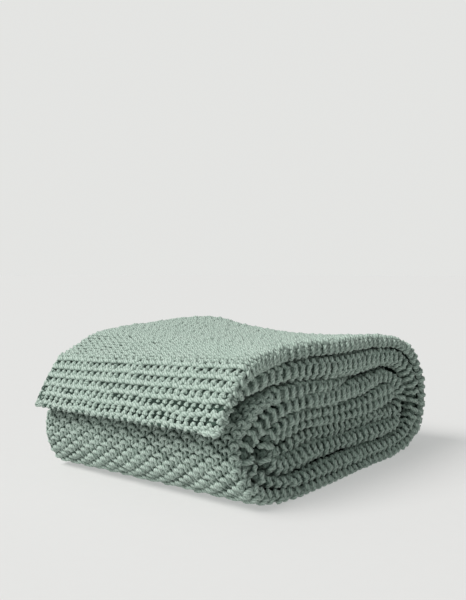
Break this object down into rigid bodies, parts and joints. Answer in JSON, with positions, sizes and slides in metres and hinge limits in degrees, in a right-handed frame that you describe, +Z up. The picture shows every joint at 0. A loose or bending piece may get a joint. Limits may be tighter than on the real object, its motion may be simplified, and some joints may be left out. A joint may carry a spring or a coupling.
{
  "type": "throw blanket",
  "caption": "Chunky knitted sage green throw blanket, folded lengthwise into layers and rolled up flat, with its hem hanging over the front.",
  "frame": {"origin": "on the surface it rests on, under the middle of the bundle's bounding box", "axes": "+Z up, +Y towards the back, away from the hanging hem, +X along the rolled width to the end with the closed folds"},
  "size_m": [0.3374, 0.4798, 0.1838],
  "materials": {
    "blanket": "matt plied yarn in a chunky knit"
  },
  "bodies": {
    "root": {"blanket": "blanket"}
  },
  "joints": []
}
